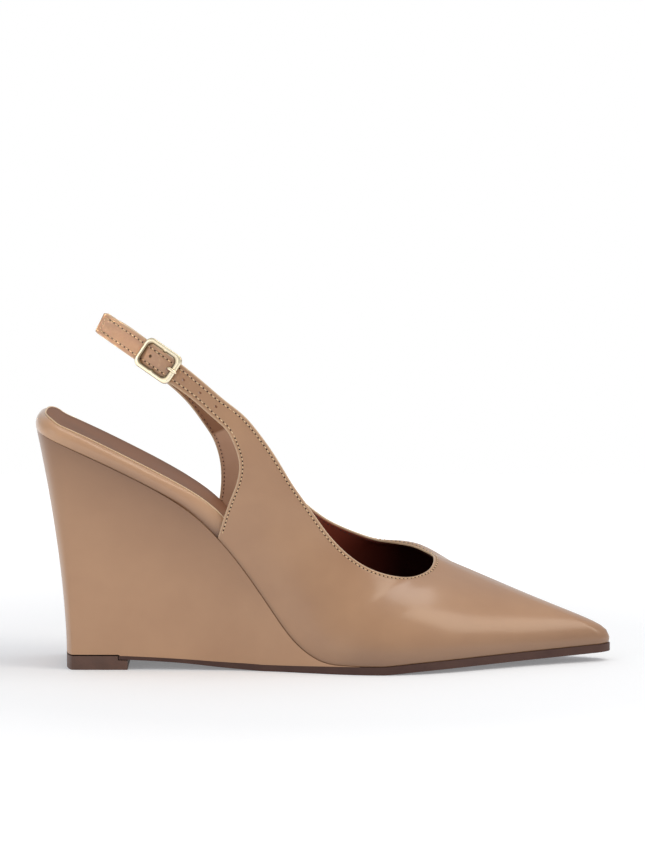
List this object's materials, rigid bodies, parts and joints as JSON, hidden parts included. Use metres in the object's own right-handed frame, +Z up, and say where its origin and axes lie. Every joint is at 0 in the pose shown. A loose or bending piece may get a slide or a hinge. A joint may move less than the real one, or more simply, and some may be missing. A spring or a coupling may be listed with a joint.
{
  "type": "wedge slingback",
  "caption": "Right pointed-toe slingback pump in glossy camel leather on a high leather-covered wedge, with an open heel and a sling strap that closes with a small gold buckle.",
  "frame": {"origin": "on the floor, under the centre of the shoe's bounding box", "axes": "+X from the heel to the toe, +Y to the inner side of the foot, +Z up from the floor"},
  "size_m": [0.233, 0.078, 0.1435],
  "materials": {
    "sole_leather": "smooth brown sole with a satin finish",
    "lift_rubber": "matt brown heel rubber",
    "wedge_leather": "smooth camel leather stretched over the wedge",
    "rand_leather": "smooth camel leather over a padded rim",
    "insole_leather": "satin taupe lining leather",
    "camel_leather": "glossy smooth camel leather",
    "frame_gold": "polished pale gold plating",
    "prong_gold": "polished pale gold plating"
  },
  "bodies": {
    "root": {"outsole": "sole_leather", "heel_lift": "lift_rubber", "wedge": "wedge_leather", "seat_rand": "rand_leather", "insole": "insole_leather", "upper": "camel_leather", "buckle_frame": "frame_gold", "buckle_prong": "prong_gold"}
  },
  "joints": []
}
